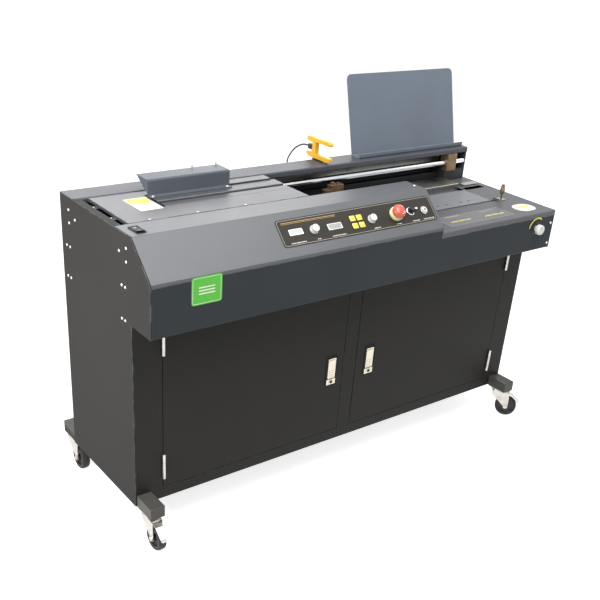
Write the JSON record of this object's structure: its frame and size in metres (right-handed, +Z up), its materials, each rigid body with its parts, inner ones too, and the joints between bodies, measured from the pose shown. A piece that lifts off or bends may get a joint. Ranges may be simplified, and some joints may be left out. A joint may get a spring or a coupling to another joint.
{
  "type": "perfect binding machine",
  "caption": "Floor-standing perfect binding machine with a sliding book clamp, milling and glue stations, a cover table and a cabinet on casters",
  "frame": {"origin": "centre of the outline on the floor, under the casters", "axes": "+X along the machine towards the cover table, +Y to the back, +Z up"},
  "size_m": [1.4858, 0.581, 1.1085],
  "materials": {
    "shell": "satin powder coat",
    "cabinet": "satin powder coat",
    "tray": "satin powder coat",
    "zinc": "zinc plated",
    "steel": "ground",
    "chrome": "polished",
    "jaw_metal": "machined",
    "bronze": "machined bronze",
    "tyre_rubber": "moulded",
    "belt_rubber": "moulded",
    "black_plastic": "moulded",
    "red_plastic": "moulded",
    "yellow_plastic": "moulded",
    "white_plastic": "moulded"
  },
  "bodies": {
    "frame": {"left_side_plate": "shell", "right_side_plate": "shell", "cabinet_front_frame": "cabinet", "cabinet_back_panel": "cabinet", "cabinet_floor": "cabinet", "console_deck": "zinc", "front_skirt": "shell", "control_hood": "shell", "shelf_cover": "shell", "table_cover": "shell", "rear_cover": "shell", "skids": "zinc", "caster_plates": "zinc", "control_overlay": "black_plastic", "guide_rod": "chrome", "rod_end_blocks": "steel", "rail_wall": "zinc", "cutter_motor": "steel", "glue_unit": "steel", "cover_table": "steel", "sensor_fork": "yellow_plastic", "sensor_cable": "black_plastic", "body_screws": "steel", "mains_inlet": "black_plastic", "drive_belt": "belt_rubber", "cover_rack": "tray"},
    "carriage": {"carriage_frame": "jaw_metal", "rear_jaw": "jaw_metal", "backing_bracket": "shell"},
    "front_jaw": {"front_jaw": "jaw_metal"},
    "milling_cutter": {"milling_cutter": "steel"},
    "nip_bar": {"nip_bar": "jaw_metal"},
    "drive_pulley": {"drive_pulley": "steel"},
    "idler_pulley": {"idler_pulley": "steel"},
    "cover_stop": {"cover_stop": "bronze"},
    "skirt_knob": {"skirt_knob": "black_plastic"},
    "left_door": {"left_door": "cabinet"},
    "right_door": {"right_door": "cabinet"},
    "left_latch": {"left_latch": "chrome"},
    "right_latch": {"right_latch": "chrome"},
    "estop_button": {"estop_button": "red_plastic"},
    "speed_knob": {"speed_knob": "black_plastic"},
    "heat_knob": {"heat_knob": "black_plastic"},
    "selector_lever": {"selector_lever": "white_plastic"},
    "end_button": {"end_button": "white_plastic"},
    "power_rocker": {"power_rocker": "black_plastic"},
    "key_upper_left": {"key_upper_left": "yellow_plastic"},
    "key_upper_right": {"key_upper_right": "yellow_plastic"},
    "key_lower_left": {"key_lower_left": "yellow_plastic"},
    "key_lower_right": {"key_lower_right": "yellow_plastic"},
    "fork_front_left": {"fork_front_left": "zinc"},
    "wheel_front_left": {"wheel_front_left": "tyre_rubber"},
    "pedal_front_left": {"pedal_front_left": "zinc"},
    "fork_front_right": {"fork_front_right": "zinc"},
    "wheel_front_right": {"wheel_front_right": "tyre_rubber"},
    "pedal_front_right": {"pedal_front_right": "zinc"},
    "fork_rear_left": {"fork_rear_left": "zinc"},
    "wheel_rear_left": {"wheel_rear_left": "tyre_rubber"},
    "fork_rear_right": {"fork_rear_right": "zinc"},
    "wheel_rear_right": {"wheel_rear_right": "tyre_rubber"}
  },
  "joints": [
    {"name": "carriage_slide", "type": "slide", "parent": "frame", "child": "carriage", "axis": [1, 0, 0], "range_m": [0, 0.75]},
    {"name": "front_jaw_slide", "type": "slide", "parent": "carriage", "child": "front_jaw", "axis": [0, 1, 0], "range_m": [-0.045, 0.0175]},
    {"name": "drive_pulley_spin", "type": "hinge", "parent": "frame", "child": "drive_pulley", "pos_m": [0.65406, 0.1965, 0.8], "axis": [0, 1, 0], "continuous": true},
    {"name": "idler_pulley_spin", "type": "hinge", "parent": "frame", "child": "idler_pulley", "pos_m": [-0.71194, 0.1965, 0.8], "axis": [0, 1, 0], "continuous": true},
    {"name": "cutter_spin", "type": "hinge", "parent": "frame", "child": "milling_cutter", "pos_m": [-0.07594, 0.0375, 0.774], "axis": [0, 0, 1], "continuous": true},
    {"name": "nip_bar_slide", "type": "slide", "parent": "frame", "child": "nip_bar", "axis": [0, -1, 0], "range_m": [0, 0.022]},
    {"name": "cover_stop_slide", "type": "slide", "parent": "frame", "child": "cover_stop", "axis": [-1, 0, 0], "range_m": [0, 0.3]},
    {"name": "skirt_knob_turn", "type": "hinge", "parent": "frame", "child": "skirt_knob", "pos_m": [0.62906, -0.2685, 0.717], "axis": [0, -1, 0], "range_deg": [-135, 135]},
    {"name": "left_door_hinge", "type": "hinge", "parent": "frame", "child": "left_door", "pos_m": [-0.65594, -0.1783, 0.17], "axis": [0, 0, -1], "range_deg": [0, 110]},
    {"name": "right_door_hinge", "type": "hinge", "parent": "frame", "child": "right_door", "pos_m": [0.63306, -0.1783, 0.17], "axis": [0, 0, 1], "range_deg": [0, 110]},
    {"name": "left_latch_lift", "type": "hinge", "parent": "left_door", "child": "left_latch", "pos_m": [-0.08494, -0.1695, 0.388], "axis": [-1, 0, 0], "range_deg": [0, 40], "stiffness_Nm_per_rad": 0.2, "springref_deg": -11.46},
    {"name": "right_latch_lift", "type": "hinge", "parent": "right_door", "child": "right_latch", "pos_m": [0.06406, -0.1695, 0.388], "axis": [-1, 0, 0], "range_deg": [0, 40], "stiffness_Nm_per_rad": 0.2, "springref_deg": -11.46},
    {"name": "estop_press", "type": "slide", "parent": "frame", "child": "estop_button", "axis": [0, 0.6912, -0.7226], "range_m": [0, 0.004], "stiffness_N_per_m": 3000, "springref_m": -0.001},
    {"name": "speed_knob_turn", "type": "hinge", "parent": "frame", "child": "speed_knob", "pos_m": [-0.23594, -0.22203, 0.82645], "axis": [0, -0.6912, 0.7226], "range_deg": [-150, 150]},
    {"name": "heat_knob_turn", "type": "hinge", "parent": "frame", "child": "heat_knob", "pos_m": [-0.03694, -0.22203, 0.82645], "axis": [0, -0.6912, 0.7226], "range_deg": [-150, 150]},
    {"name": "selector_turn", "type": "hinge", "parent": "frame", "child": "selector_lever", "pos_m": [0.11006, -0.21986, 0.82853], "axis": [0, -0.6912, 0.7226], "range_deg": [-45, 45]},
    {"name": "end_button_press", "type": "slide", "parent": "frame", "child": "end_button", "axis": [0, 0.6912, -0.7226], "range_m": [0, 0.002], "stiffness_N_per_m": 1500, "springref_m": -0.001},
    {"name": "rocker_tilt", "type": "hinge", "parent": "frame", "child": "power_rocker", "pos_m": [-0.70294, -0.1395, 0.87], "axis": [1, 0, 0], "range_deg": [0, 8]},
    {"name": "key_upper_left_press", "type": "slide", "parent": "frame", "child": "key_upper_left", "axis": [0, 0.6912, -0.7226], "range_m": [0, 0.0008], "stiffness_N_per_m": 1500, "springref_m": -0.0005},
    {"name": "key_lower_left_press", "type": "slide", "parent": "frame", "child": "key_lower_left", "axis": [0, 0.6912, -0.7226], "range_m": [0, 0.0008], "stiffness_N_per_m": 1500, "springref_m": -0.0005},
    {"name": "key_upper_right_press", "type": "slide", "parent": "frame", "child": "key_upper_right", "axis": [0, 0.6912, -0.7226], "range_m": [0, 0.0008], "stiffness_N_per_m": 1500, "springref_m": -0.0005},
    {"name": "key_lower_right_press", "type": "slide", "parent": "frame", "child": "key_lower_right", "axis": [0, 0.6912, -0.7226], "range_m": [0, 0.0008], "stiffness_N_per_m": 1500, "springref_m": -0.0005},
    {"name": "swivel_front_left", "type": "hinge", "parent": "frame", "child": "fork_front_left", "pos_m": [-0.71564, -0.2035, 0.104], "axis": [0, 0, 1], "continuous": true},
    {"name": "roll_front_left", "type": "hinge", "parent": "fork_front_left", "child": "wheel_front_left", "pos_m": [-0.71564, -0.2415, 0.0375], "axis": [1, 0, 0], "continuous": true},
    {"name": "brake_front_left", "type": "hinge", "parent": "fork_front_left", "child": "pedal_front_left", "pos_m": [-0.71564, -0.2335, 0.083], "axis": [-1, 0, 0], "range_deg": [0, 10]},
    {"name": "swivel_front_right", "type": "hinge", "parent": "frame", "child": "fork_front_right", "pos_m": [0.68376, -0.2035, 0.104], "axis": [0, 0, 1], "continuous": true},
    {"name": "roll_front_right", "type": "hinge", "parent": "fork_front_right", "child": "wheel_front_right", "pos_m": [0.70657, -0.23389, 0.0375], "axis": [0.7997, 0.6004, 0], "continuous": true},
    {"name": "brake_front_right", "type": "hinge", "parent": "fork_front_right", "child": "pedal_front_right", "pos_m": [0.70177, -0.22749, 0.083], "axis": [-0.7997, -0.6004, 0], "range_deg": [0, 10]},
    {"name": "swivel_rear_left", "type": "hinge", "parent": "frame", "child": "fork_rear_left", "pos_m": [-0.71564, 0.2615, 0.104], "axis": [0, 0, 1], "continuous": true},
    {"name": "roll_rear_left", "type": "hinge", "parent": "fork_rear_left", "child": "wheel_rear_left", "pos_m": [-0.71564, 0.2235, 0.0375], "axis": [1, 0, 0], "continuous": true},
    {"name": "swivel_rear_right", "type": "hinge", "parent": "frame", "child": "fork_rear_right", "pos_m": [0.68376, 0.2615, 0.104], "axis": [0, 0, 1], "continuous": true},
    {"name": "roll_rear_right", "type": "hinge", "parent": "fork_rear_right", "child": "wheel_rear_right", "pos_m": [0.69295, 0.22463, 0.0375], "axis": [0.9703, 0.2419, 0], "continuous": true}
  ],
  "couplings": [
    {"joint": "drive_pulley_spin", "follows": "carriage_slide", "rad_per_m": 48.193},
    {"joint": "idler_pulley_spin", "follows": "carriage_slide", "rad_per_m": 48.193}
  ]
}
